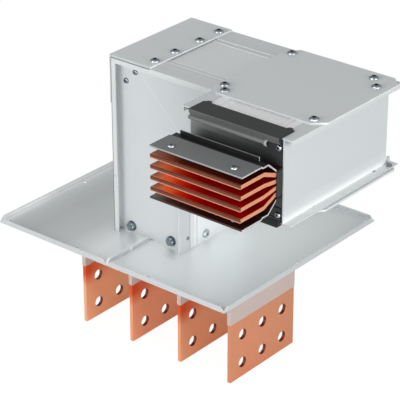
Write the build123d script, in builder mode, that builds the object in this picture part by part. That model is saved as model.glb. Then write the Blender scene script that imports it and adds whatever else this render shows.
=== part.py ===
from build123d import *
import os

# Busway feed-in elbow. The riser stands on the flange along +Z, the run leaves its top along +X and
# the branch leaves the run along -Y. Origin: centre of the flange's underside, on the riser's axis.

# Housing
housing_width = 194.0
housing_depth = 132.0
wall = 2.0
web_setback = 13.0
flange_reach = 12.0
return_depth = 9.0
run_height = 229.0
branch_offset = 229.0
branch_length = 165.0
seam_shift = 28.0

# Extruded covers of the broad faces
cover_thickness = 3.0
cover_edge_gap = 0.3
cover_ridge = 12.5
cover_groove = 1.5
cover_step = 9.0
cover_sink = 1.5

# Conductors, packed side by side
bar_count = 4
bar_clearance = 2.0
bar_thickness = 6.0
layer_thickness = 4.0
sheath_thickness = 2.0
inner_bend = 10.0
pack_chamfer = 30.0
pack_protrusion = 7.0
pack_foot = 8.0

# Palms below the flange
jog_bend = 9.0
jog_drop = 22.0
jog_step = 20.0
palm_pitch = 100.0
palm_end = 200.0
palm_hole_pitch = 50.0
palm_hole_radius = 9.0
palm_hole_edge = 25.0
sleeve_thickness = 0.6
sleeve_end = 97.0

# Flared contact end of the branch
contact_reach = 91.0
contact_pitch = 17.0
contact_flat = 52.0
contact_root = 13.0
shroud_thickness = 2.5
shroud_half = 41.0
shroud_recess = 1.0
shroud_front_flat = 43.0
shroud_joggle = 2.0
shroud_back_flat = 13.0
shroud_slope = 19.0
rib_height = 6.3
rib_thickness = 1.8
rib_left_inset = 8.0
rib_right_inset = 16.0
rivet_side_inset = 26.5
rivet_setback = 16.0
rivet_radius = 5.5
rivet_height = 3.5
rivet_shank_radius = 3.0

# Flange of two trays that meet at an upstand
flange_length = 455.0
flange_width = 376.0
flange_sheet = 2.0
rim_height = 8.5
flange_seam = -3.0
flange_hole_radius = 3.5
flange_hole_inset = 10.0
flange_hole_pitch = 145.0
pack_clearance = 1.0
seam_screw_place = 131.0

# Corner sheets
cap_sheet = 3.0
cap_side_gap = 1.0
cap_top = 81.0
cap_drop = 79.0
cap_screw_inset = 9.0
cap_screw_place = 29.0
cap_screw_side_inset = 22.0
plate_sheet = 3.0
plate_overhang = 5.0
plate_shift = 4.0
plate_chamfer = 17.0

# Fasteners
head_radius = 7.2
head_height = 4.5
shank_radius = 4.0
shank_length = 12.0
small_head_radius = 4.6
small_head_height = 2.6
small_shank_radius = 2.5
small_shank_length = 9.0
pin_head_radius = 3.0
pin_head_height = 1.5
pin_shank_radius = 2.0
head_taper = 0.72
bolt_radius = 4.0
bolt_across_flats = 13.0
bolt_head_height = 5.5
bolt_length = 22.0
washer_radius = 8.3
washer_thickness = 1.6
hole_clearance = 0.5

# Supports inside the housing
rail_height = 28.0
rail_bolt_height = 12.0
rail_bolt_place = 40.0
rail_screw_place = 33.0
rail_side_screw_height = 22.0
flange_screw_x = 40.0
flange_screw_y = 50.0
countersink_radius = 4.6
spacer_length = 30.0
spacer_side_gap = 3.0
bracket_thickness = 24.0
bracket_drop = 82.0
corner_screw_diagonal = 40.7
corner_screw_spread = 26.0

# End frame of the branch
end_plate = 3.0
end_screw_inset = 6.0
end_screw_drop = 14.5
frame_overhang = 9.0
frame_back = 27.0
frame_wall = 2.0
frame_lip = 11.0
frame_slope = 5.0
ear_radius = 5.0
ear_inset = 8.0
bead_radius = 3.4
bead_drop = 12.4
bead_short = 25.0

os.makedirs("parts", exist_ok=True)

# Housing faces
half_width = housing_width / 2
half_depth = housing_depth / 2
web_outer = half_width - web_setback
web_inner = web_outer - wall
flange_inner = web_outer - flange_reach
run_top = run_height + half_depth
run_bottom = run_height - half_depth
branch_right = branch_offset + half_width
branch_front = -branch_length

# Pack of bars: its layers lie at these offsets from its middle, outwards at the bend
bar_width = 2 * (web_inner - bar_clearance)
bar_half = bar_width / 2
bar_pitch = bar_thickness + layer_thickness
bar_offsets = [(i - (bar_count - 1) / 2) * bar_pitch for i in range(bar_count)]
layer_offsets = [(i - (bar_count - 2) / 2) * bar_pitch for i in range(bar_count - 1)]
bars_half = bar_offsets[-1] + bar_thickness / 2
pack_half = bars_half + sheath_thickness
bend_middle = pack_half + inner_bend
pack_joint = bend_middle + inner_bend
pack_front = branch_front - pack_protrusion

# Fastener seats
screw_hole_radius = shank_radius + hole_clearance
small_hole_radius = small_shank_radius + hole_clearance


def write(piece, label):
    """Name a finished piece and write its STEP file."""
    piece.part.label = label
    export_step(piece.part, f"parts/{label}.step")


def drill(starts, direction, radius, depth):
    """Cut round holes into the part that is being built."""
    for start in starts:
        with Locations(Plane(origin=start, z_dir=direction)):
            Cylinder(radius, depth, align=(Align.CENTER, Align.CENTER, Align.MIN), mode=Mode.SUBTRACT)


def screw(start, inward, radius, height, shank, length):
    """Pan-head screw whose head sits on the face at start and whose shank runs inward."""
    outward = Vector(*inward) * -1
    with BuildPart(Plane(origin=start, z_dir=outward)) as body:
        Cone(radius, radius * head_taper, height, align=(Align.CENTER, Align.CENTER, Align.MIN))
        Cylinder(shank, length, align=(Align.CENTER, Align.CENTER, Align.MAX))
    return body.part


def pan_screws(starts, inward, length):
    """Large pan-head screws as separate solids of one group."""
    return [screw(start, inward, head_radius, head_height, shank_radius, length) for start in starts]


def small_screws(starts, inward):
    """Small pan-head screws as separate solids of one group."""
    return [
        screw(start, inward, small_head_radius, small_head_height, small_shank_radius, small_shank_length)
        for start in starts
    ]


def pins(starts, inward, length):
    """The smallest screws as separate solids of one group."""
    return [
        screw(start, inward, pin_head_radius, pin_head_height, pin_shank_radius, length)
        for start in starts
    ]


def write_group(solids, label):
    """Write separate solids as one node."""
    group = Compound(children=[Solid(solid.solids()[0].wrapped) for solid in solids])
    group.label = label
    export_step(group, f"parts/{label}.step")


def countersink(mode=Mode.ADD):
    """Cone of a countersunk head in the thickness of the flange."""
    Cone(
        countersink_radius,
        small_shank_radius,
        flange_sheet,
        align=(Align.CENTER, Align.CENTER, Align.MIN),
        mode=mode,
    )


def channel_outline():
    """Side channel: a web, two flanges that stand out, and a return on the upper flange."""
    Polyline(
        (flange_inner, half_depth),
        (half_width, half_depth),
        (half_width, half_depth - return_depth),
        (half_width - wall, half_depth - return_depth),
        (half_width - wall, half_depth - wall),
        (web_outer, half_depth - wall),
        (web_outer, wall - half_depth),
        (half_width, wall - half_depth),
        (half_width, -half_depth),
        (flange_inner, -half_depth),
        (flange_inner, wall - half_depth),
        (web_inner, wall - half_depth),
        (web_inner, half_depth - wall),
        (flange_inner, half_depth - wall),
        close=True,
    )


def cover_outline():
    """Extruded cover seen from its end: flat edges, a groove, a step and a sunk middle."""
    cover_half = flange_inner - cover_edge_gap
    ridge_edge = cover_half - cover_ridge
    groove_edge = ridge_edge - cover_groove
    step_edge = groove_edge - cover_step
    right_side = [
        (cover_half, -cover_thickness),
        (cover_half, 0),
        (ridge_edge, 0),
        (ridge_edge, -cover_groove),
        (groove_edge, -cover_groove),
        (groove_edge, -cover_sink / 2),
        (step_edge, -cover_sink / 2),
        (step_edge, -cover_sink),
    ]
    left_side = [(-across, down) for across, down in reversed(right_side)]
    Polyline(*right_side, *left_side, close=True)


def strip(points, radius, thickness):
    """Outline of a bent flat bar about its centre line, with sharp folds where the radius is zero."""
    if radius:
        line = FilletPolyline(*points, radius=radius, mode=Mode.PRIVATE)
        corner = Kind.ARC
    else:
        line = Polyline(*points, mode=Mode.PRIVATE)
        corner = Kind.INTERSECTION
    left = offset(line, amount=thickness / 2, kind=corner, side=Side.LEFT, closed=False, mode=Mode.ADD)
    right = offset(line, amount=thickness / 2, kind=corner, side=Side.RIGHT, closed=False, mode=Mode.ADD)
    near, far = sorted((right @ 0, right @ 1), key=lambda end: (end - left @ 0).length)
    Line(left @ 0, near)
    Line(left @ 1, far)


def extruded_cover(plane, length):
    """A cover whose outer face lies in the plane's XZ plane, extruded along the plane's normal."""
    with BuildPart() as cover:
        with BuildSketch(plane):
            with BuildLine():
                cover_outline()
            make_face()
        extrude(amount=length)
    return cover


# The mitre between riser and run, the seam of the side walls beside it, and the mitre in plan
corner_mitre = Plane(origin=(0, 0, run_height), x_dir=(0, 1, 0), z_dir=(1, 0, 1))
wall_seam = Plane(origin=(seam_shift, 0, run_height), x_dir=(0, 1, 0), z_dir=(1, 0, 1))
plan_mitre = Plane(origin=(branch_offset, 0, 0), x_dir=(1, 1, 0), z_dir=(1, -1, 0))

rail_bolt_z = flange_sheet + rail_bolt_height
diagonal_start = corner_screw_diagonal / 2 ** 0.5
diagonal_spread = corner_screw_spread / 2 / 2 ** 0.5
corner_screw_places = [
    (-half_depth + diagonal_start + shift, run_top - diagonal_start + shift)
    for shift in (-diagonal_spread, diagonal_spread)
]
cap_screw_x = cap_top - half_depth - cap_sheet - cap_screw_inset
cap_screw_side = half_width - cap_screw_side_inset
cap_screw_places = (-cap_screw_side, -cap_screw_place, cap_screw_place, cap_screw_side)

# Screws of the corner plates: the side of the elbow and how far in from the housing's faces
plate_screws = (
    (-1, 10.0, 1, 20.0),
    (1, 35.0, 1, 20.0),
    (1, 14.0, 1, 44.0),
    (-1, 7.0, -1, 18.0),
    (-1, 20.0, -1, 2.0),
    (1, 16.0, -1, 3.0),
)
plate_screw_points = [
    (branch_offset + side_x * (half_width - inset_x), side_y * (half_width - inset_y))
    for side_x, inset_x, side_y, inset_y in plate_screws
]
rail_side_screw_place = (flange_inner + web_inner) / 2


def side_wall(side, keep):
    """Side wall beside riser and run, cut at its seam. side is -1 in front and +1 behind."""
    with BuildPart() as riser:
        start = run_top if side < 0 else flange_sheet
        with BuildSketch(Plane(origin=(0, 0, start), x_dir=(0, side, 0), z_dir=(0, 0, side))):
            with BuildLine():
                channel_outline()
            make_face()
        extrude(amount=run_top - flange_sheet)
        split(bisect_by=corner_mitre, keep=Keep.BOTTOM)
    with BuildPart() as wall_part:
        start = branch_right if side < 0 else -half_depth
        with BuildSketch(Plane(origin=(start, 0, run_height), x_dir=(0, side, 0), z_dir=(side, 0, 0))):
            with BuildLine():
                channel_outline()
            make_face()
        extrude(amount=branch_right + half_depth)
        split(bisect_by=corner_mitre, keep=Keep.TOP)
        split(bisect_by=plan_mitre, keep=Keep.BOTTOM)
        add(riser.part)
        split(bisect_by=wall_seam, keep=keep)
        web_face = side * (web_outer + 1)
        corner_holes = [(x, web_face, z) for x, z in corner_screw_places]
        drill(corner_holes, (0, -side, 0), small_hole_radius, wall + 2)
        bolts = [(x, web_face, rail_bolt_z) for x in (-rail_bolt_place, rail_bolt_place)]
        drill(bolts, (0, -side, 0), bolt_radius + hole_clearance, wall + 2)
        cap_holes = [(cap_screw_x, y, run_top + 1) for y in cap_screw_places]
        drill(cap_holes, (0, 0, -1), screw_hole_radius, wall + 2)
        foot_hole = (half_depth + 1, side * rail_side_screw_place, flange_sheet + rail_side_screw_height)
        drill([foot_hole], (-1, 0, 0), pin_shank_radius + hole_clearance, wall + 2)
        for face, inward in ((run_top, -1), (run_bottom, 1)):
            starts = [(x, y, face) for x, y in plate_screw_points]
            drill(starts, (0, 0, inward), shank_radius, wall)
    return wall_part


for side, place in ((-1, "front"), (1, "back")):
    write(side_wall(side, Keep.BOTTOM), f"riser_wall_{place}")
    write(side_wall(side, Keep.TOP), f"run_wall_{place}")

for side, place in ((-1, "inner"), (1, "outer")):
    with BuildPart() as branch_wall:
        start = branch_front if side < 0 else half_width
        branch_end = (branch_offset, start, run_height)
        with BuildSketch(Plane(origin=branch_end, x_dir=(side, 0, 0), z_dir=(0, -side, 0))):
            with BuildLine():
                channel_outline()
            make_face()
        extrude(amount=branch_length + half_width)
        split(bisect_by=plan_mitre, keep=Keep.TOP)
        for face, inward in ((run_top, -1), (run_bottom, 1)):
            starts = [(x, y, face) for x, y in plate_screw_points]
            drill(starts, (0, 0, inward), shank_radius, wall)
    write(branch_wall, f"branch_wall_{place}")

# Covers of the broad faces. Those of run and branch end under the corner plates.
plate_side = housing_width + 2 * plate_overhang
plate_left = branch_offset - plate_side / 2
plate_front = -plate_shift - plate_side / 2
run_cover_end = plate_left + cover_step * 2
branch_cover_end = plate_front + cover_step * 2
branch_cover_front = branch_front + end_plate

riser_cover_outer = extruded_cover(
    Plane(origin=(-half_depth, 0, flange_sheet), x_dir=(0, 1, 0), z_dir=(0, 0, 1)),
    run_top - cover_thickness - flange_sheet,
)
write(riser_cover_outer, "riser_cover_outer")

rail_screw_points = [(half_depth + 1, y, rail_bolt_z) for y in (-rail_screw_place, rail_screw_place)]
with BuildPart() as riser_cover_inner:
    with BuildSketch(Plane(origin=(half_depth, 0, flange_sheet), x_dir=(0, -1, 0), z_dir=(0, 0, 1))):
        with BuildLine():
            cover_outline()
        make_face()
    extrude(amount=run_bottom - flange_sheet)
    drill(rail_screw_points, (-1, 0, 0), screw_hole_radius, cover_thickness + 2)
write(riser_cover_inner, "riser_cover_inner")

with BuildPart() as run_cover_top:
    with BuildSketch(Plane(origin=(-half_depth, 0, run_top), x_dir=(0, 1, 0), z_dir=(1, 0, 0))):
        with BuildLine():
            cover_outline()
        make_face()
    extrude(amount=run_cover_end + half_depth)
    cap_holes = [(cap_screw_x, y, run_top + 1) for y in cap_screw_places]
    drill(cap_holes, (0, 0, -1), screw_hole_radius, cover_thickness + 2)
write(run_cover_top, "run_cover_top")

run_cover_bottom = extruded_cover(
    Plane(origin=(run_cover_end, 0, run_bottom), x_dir=(0, 1, 0), z_dir=(-1, 0, 0)),
    run_cover_end - half_depth + cover_thickness,
)
write(run_cover_bottom, "run_cover_bottom")

branch_cover_top = extruded_cover(
    Plane(origin=(branch_offset, branch_cover_end, run_top), x_dir=(1, 0, 0), z_dir=(0, -1, 0)),
    branch_cover_end - branch_cover_front,
)
write(branch_cover_top, "branch_cover_top")

branch_cover_bottom = extruded_cover(
    Plane(origin=(branch_offset, branch_cover_front, run_bottom), x_dir=(1, 0, 0), z_dir=(0, 1, 0)),
    branch_cover_end - branch_cover_front,
)
write(branch_cover_bottom, "branch_cover_bottom")

# Cap: one sheet bent over the outer corner of riser and run
cap_width = housing_width - 2 * cap_side_gap
with BuildPart() as corner_cap:
    with BuildSketch(Plane.XZ.offset(-cap_width / 2)):
        with BuildLine():
            strip(
                [
                    (-half_depth - cap_sheet / 2, run_top + cap_sheet - cap_drop),
                    (-half_depth - cap_sheet / 2, run_top + cap_sheet / 2),
                    (-half_depth - cap_sheet + cap_top, run_top + cap_sheet / 2),
                ],
                0,
                cap_sheet,
            )
        make_face()
    extrude(amount=cap_width)
    drill(
        [(cap_screw_x, y, run_top + cap_sheet + 1) for y in cap_screw_places],
        (0, 0, -1),
        screw_hole_radius,
        cap_sheet + 2,
    )
write(corner_cap, "corner_cap")
write_group(
    pan_screws([(cap_screw_x, y, run_top + cap_sheet) for y in cap_screw_places], (0, 0, -1), shank_length),
    "corner_cap_screws",
)

# Corner plates above and below the elbow in plan
for outward, place in ((1, "top"), (-1, "bottom")):
    plate_seat = run_top if outward > 0 else run_bottom
    with BuildPart() as corner_plate:
        plate_centre = (branch_offset, -plate_shift, plate_seat)
        plate_plane = Plane(origin=plate_centre, x_dir=(1, 0, 0), z_dir=(0, 0, outward))
        with BuildSketch(plate_plane) as plate_outline:
            Rectangle(plate_side, plate_side)
            chamfer(plate_outline.vertices(), length=plate_chamfer)
        extrude(amount=plate_sheet)
        starts = [(x, y, plate_seat - outward) for x, y in plate_screw_points]
        drill(starts, (0, 0, outward), screw_hole_radius, plate_sheet + 2)
    write(corner_plate, f"corner_plate_{place}")
    heads = [(x, y, plate_seat + outward * plate_sheet) for x, y in plate_screw_points]
    write_group(pan_screws(heads, (0, 0, -outward), plate_sheet + wall), f"corner_plate_{place}_screws")

# Bracket inside the outer corner, which takes the screws of cap and side walls
bracket_left = -half_depth + cover_thickness
bracket_top = run_top - cover_thickness
with BuildPart() as corner_bracket:
    with BuildSketch(Plane.XZ.offset(-web_inner)):
        with BuildLine():
            Polyline(
                (bracket_left, bracket_top),
                (cap_screw_x + head_radius, bracket_top),
                (cap_screw_x + head_radius, bracket_top - bracket_thickness),
                (bracket_left + bracket_thickness, bracket_top - bracket_thickness),
                (bracket_left + bracket_thickness, bracket_top - bracket_drop),
                (bracket_left, bracket_top - bracket_drop),
                close=True,
            )
        make_face()
    extrude(amount=2 * web_inner)
    cap_reach = shank_length - cap_sheet - cover_thickness
    cap_ends = [(cap_screw_x, y, bracket_top - cap_reach) for y in cap_screw_places]
    drill(cap_ends, (0, 0, 1), shank_radius, cap_reach)
    corner_reach = small_shank_length - wall
    for side in (-1, 1):
        ends = [(x, side * (web_inner - corner_reach), z) for x, z in corner_screw_places]
        drill(ends, (0, side, 0), small_shank_radius, corner_reach)
write(corner_bracket, "corner_bracket")
write_group(
    small_screws([(x, -web_outer, z) for x, z in corner_screw_places], (0, 1, 0))
    + small_screws([(x, web_outer, z) for x, z in corner_screw_places], (0, -1, 0)),
    "corner_bracket_screws",
)

rail_side_points = [
    (half_depth, side * rail_side_screw_place, flange_sheet + rail_side_screw_height) for side in (-1, 1)
]

# Rails that clamp the pack at the foot of the riser and stand on the flange
for side, place in ((-1, "outer"), (1, "inner")):
    with BuildPart() as rail:
        rail_width = half_depth - cover_thickness - pack_half
        rail_x = side * (pack_half + rail_width / 2)
        with BuildSketch(Plane(origin=(rail_x, 0, flange_sheet))):
            Rectangle(rail_width, 2 * web_inner)
        extrude(amount=rail_height)
        bolt_reach = bolt_length - wall - washer_thickness
        for end in (-1, 1):
            starts = [(side * rail_bolt_place, end * (web_inner - bolt_reach), rail_bolt_z)]
            drill(starts, (0, end, 0), bolt_radius, bolt_reach)
        if side > 0:
            rail_reach = shank_length - cover_thickness + cover_sink
            rail_end = half_depth - cover_thickness - rail_reach
            starts = [(rail_end, y, rail_bolt_z) for _, y, _ in rail_screw_points]
            drill(starts, (1, 0, 0), shank_radius, rail_reach)
            starts = [(half_depth - small_shank_length, y, z) for _, y, z in rail_side_points]
            drill(starts, (1, 0, 0), pin_shank_radius, small_shank_length)
        starts = [(side * flange_screw_x, y, 0) for y in (-flange_screw_y, flange_screw_y)]
        drill(starts, (0, 0, 1), small_shank_radius, small_shank_length)
    write(rail, f"clamp_rail_{place}")
cover_screws = [(half_depth - cover_sink, y, z) for _, y, z in rail_screw_points]
write_group(pan_screws(cover_screws, (-1, 0, 0), shank_length), "riser_cover_screws")


def hex_bolt(x, side):
    """Hexagon bolt through the web, with its head outside the washer."""
    place = (x, side * (web_outer + washer_thickness), rail_bolt_z)
    seat = Plane(origin=place, x_dir=(1, 0, 0), z_dir=(0, side, 0))
    with BuildPart(seat) as bolt:
        with BuildSketch(seat):
            RegularPolygon(bolt_across_flats / 2, 6, major_radius=False)
        extrude(amount=bolt_head_height)
        Cylinder(bolt_radius, bolt_length, align=(Align.CENTER, Align.CENTER, Align.MAX))
    return bolt.part


def washer(x, side):
    """Flat washer on the web."""
    seat = (x, side * web_outer, rail_bolt_z)
    with BuildPart(Plane(origin=seat, x_dir=(1, 0, 0), z_dir=(0, side, 0))) as ring:
        seated = (Align.CENTER, Align.CENTER, Align.MIN)
        Cylinder(washer_radius, washer_thickness, align=seated)
        Cylinder(bolt_radius, washer_thickness, align=seated, mode=Mode.SUBTRACT)
    return ring.part


def countersunk_screw(x, y):
    """Countersunk screw through the flange from below."""
    with BuildPart(Plane(origin=(x, y, 0))) as body:
        countersink()
        Cylinder(small_shank_radius, small_shank_length, align=(Align.CENTER, Align.CENTER, Align.MIN))
    return body.part


bolt_seats = [(x, side) for side in (-1, 1) for x in (-rail_bolt_place, rail_bolt_place)]
write_group([hex_bolt(x, side) for x, side in bolt_seats], "clamp_bolts")
write_group([washer(x, side) for x, side in bolt_seats], "clamp_washers")
write_group(pins(rail_side_points, (-1, 0, 0), small_shank_length), "rail_side_screws")
flange_screws = [
    (x, y)
    for x in (-flange_screw_x, flange_screw_x)
    for y in (-flange_screw_y, flange_screw_y)
]
write_group([countersunk_screw(x, y) for x, y in flange_screws], "flange_rail_screws")


def pack_layer(level, thickness, front, foot):
    """One layer of the pack: flat through branch and run, bent down into the riser."""
    height = run_height + level
    with BuildPart() as layer:
        with BuildSketch(Plane.XY.offset(height - thickness / 2)):
            with BuildLine():
                right = branch_offset + bar_half
                left = branch_offset - bar_half
                Polyline(
                    (pack_joint, -bar_half),
                    (left, -bar_half),
                    (left, front),
                    (right, front),
                    (right, bar_half - pack_chamfer),
                    (right - pack_chamfer, bar_half),
                    (pack_joint, bar_half),
                    close=True,
                )
            make_face()
        extrude(amount=thickness)
        with BuildSketch(Plane.XZ.offset(-bar_half)):
            with BuildLine():
                middle_line = [(pack_joint, height), (-level, height), (-level, foot)]
                strip(middle_line, bend_middle + level, thickness)
            make_face()
        extrude(amount=bar_width)
    return layer


# Conductors: pack layer, flared contact blade at the branch and jogged palm below the flange
palm_hole_rows = (palm_end - palm_hole_edge, palm_end - palm_hole_edge - palm_hole_pitch)
for index, level in enumerate(bar_offsets):
    share = level / bar_pitch
    jog_inwards = (bar_count - 1) / 2 - abs(share)
    jog_height = -jog_drop - jog_inwards * jog_step
    palm_x = -share * palm_pitch
    with BuildPart() as conductor:
        add(pack_layer(level, bar_thickness, branch_front - contact_root, 0).part)
        with BuildSketch(Plane.XZ.offset(-bar_half)):
            with BuildLine():
                strip(
                    [(-level, 0), (-level, jog_height), (palm_x, jog_height), (palm_x, -palm_end)],
                    jog_bend,
                    bar_thickness,
                )
            make_face()
        extrude(amount=bar_width)
        with BuildSketch(Plane.YZ.offset(branch_offset - bar_half)):
            with BuildLine():
                tip_height = run_height + share * contact_pitch
                strip(
                    [
                        (branch_front, run_height + level),
                        (branch_front - contact_root, run_height + level),
                        (branch_front - contact_reach + contact_flat, tip_height),
                        (branch_front - contact_reach, tip_height),
                    ],
                    jog_bend,
                    bar_thickness,
                )
            make_face()
        extrude(amount=bar_width)
        hole_starts = [
            (palm_x - bar_thickness, y, -z)
            for y in (-palm_hole_pitch, 0, palm_hole_pitch)
            for z in palm_hole_rows
        ]
        drill(hole_starts, (1, 0, 0), palm_hole_radius, 2 * bar_thickness)
    write(conductor, f"conductor_{index + 1}")

    with BuildPart() as sleeve:
        sleeve_top = jog_height - jog_bend
        with BuildSketch(Plane(origin=(palm_x, 0, -sleeve_end))):
            Rectangle(bar_thickness + 2 * sleeve_thickness, bar_width + 2 * sleeve_thickness)
            Rectangle(bar_thickness, bar_width, mode=Mode.SUBTRACT)
        extrude(amount=sleeve_end + sleeve_top)
    write(sleeve, f"palm_sleeve_{index + 1}")

# Insulating layers between the bars and the sheaths outside them
for index, level in enumerate(layer_offsets):
    write(pack_layer(level, layer_thickness, pack_front, -pack_foot), f"insulating_layer_{index + 1}")
sheath_offset = bars_half + sheath_thickness / 2
write(pack_layer(-sheath_offset, sheath_thickness, pack_front, -pack_foot), "pack_sheath_inner")
write(pack_layer(sheath_offset, sheath_thickness, pack_front, -pack_foot), "pack_sheath_outer")

# Spacers that carry the pack between the covers
spacer_height = half_depth - cover_thickness - pack_half
spacer_width = 2 * (flange_inner - spacer_side_gap)
for outward, place in ((1, "top"), (-1, "bottom")):
    spacer_z = run_height + outward * (pack_half + spacer_height / 2)
    with BuildPart() as run_spacer:
        with BuildSketch(Plane(origin=(run_cover_end - spacer_length, 0, spacer_z))):
            Rectangle(spacer_length, spacer_width)
        extrude(amount=spacer_height / 2, both=True)
    write(run_spacer, f"run_spacer_{place}")
    with BuildPart() as branch_spacer:
        with BuildSketch(Plane(origin=(branch_offset, branch_cover_front + spacer_length / 2, spacer_z))):
            Rectangle(spacer_width, spacer_length)
        extrude(amount=spacer_height / 2, both=True)
    write(branch_spacer, f"branch_spacer_{place}")

# Flange trays
tray_left = -flange_length / 2
tray_right = flange_length / 2
tray_back = flange_width / 2
flange_hole_y = tray_back - flange_hole_inset
flange_hole_x = tray_right - flange_hole_inset
flange_holes = [
    (x, y, -1)
    for y in (-flange_hole_y, flange_hole_y)
    for x in (-flange_hole_x, -flange_hole_pitch / 2, flange_hole_pitch / 2, flange_hole_x)
] + [(x, 0, -1) for x in (-flange_hole_x, flange_hole_x)]
seam_rim_end = web_outer + cover_edge_gap
seam_screw_height = rim_height / 2 + 1
seam_screw_places = (-seam_screw_place, seam_screw_place)


def rim(start, along, length, inward):
    """Upturned rim with ends cut back at 45 degrees."""
    plane = Plane(origin=start, x_dir=along, z_dir=inward)
    with BuildPart() as edge:
        upward = 1 if plane.y_dir.Z > 0 else -1
        with BuildSketch(plane):
            with BuildLine():
                Polyline(
                    (0, 0),
                    (length, 0),
                    (length - rim_height, upward * rim_height),
                    (rim_height, upward * rim_height),
                    close=True,
                )
            make_face()
        extrude(amount=flange_sheet)
    return edge.part


for side, place in ((-1, "left"), (1, "right")):
    with BuildPart() as tray:
        outer_edge = side * flange_length / 2
        width = abs(outer_edge - flange_seam)
        low_x = min(outer_edge, flange_seam)
        with BuildSketch(Plane(origin=(low_x + width / 2, 0, 0))):
            Rectangle(width, flange_width)
        extrude(amount=flange_sheet)
        add(rim((low_x, -tray_back, 0), (1, 0, 0), width, (0, 1, 0)))
        add(rim((low_x, tray_back, 0), (1, 0, 0), width, (0, -1, 0)))
        add(rim((outer_edge, -tray_back, 0), (0, 1, 0), flange_width, (-side, 0, 0)))
        seam_length = tray_back - seam_rim_end
        add(rim((flange_seam, -tray_back, 0), (0, 1, 0), seam_length, (side, 0, 0)))
        add(rim((flange_seam, seam_rim_end, 0), (0, 1, 0), seam_length, (side, 0, 0)))
        with BuildSketch(Plane.XY):
            opening = 2 * (pack_half + pack_clearance)
            Rectangle(opening, bar_width + 2 * pack_clearance)
        extrude(amount=flange_sheet, mode=Mode.SUBTRACT)
        drill(flange_holes, (0, 0, 1), flange_hole_radius, flange_sheet + 2)
        with Locations(*[(x, y, 0) for x, y in flange_screws]):
            countersink(Mode.SUBTRACT)
        seam_starts = [(flange_seam - side, y, seam_screw_height) for y in seam_screw_places]
        drill(seam_starts, (side, 0, 0), pin_shank_radius, flange_sheet + 2)
    write(tray, f"flange_{place}")

seam_heads = [(flange_seam + flange_sheet, y, seam_screw_height) for y in seam_screw_places]
write_group(pins(seam_heads, (-1, 0, 0), 2 * flange_sheet), "flange_seam_screws")

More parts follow.
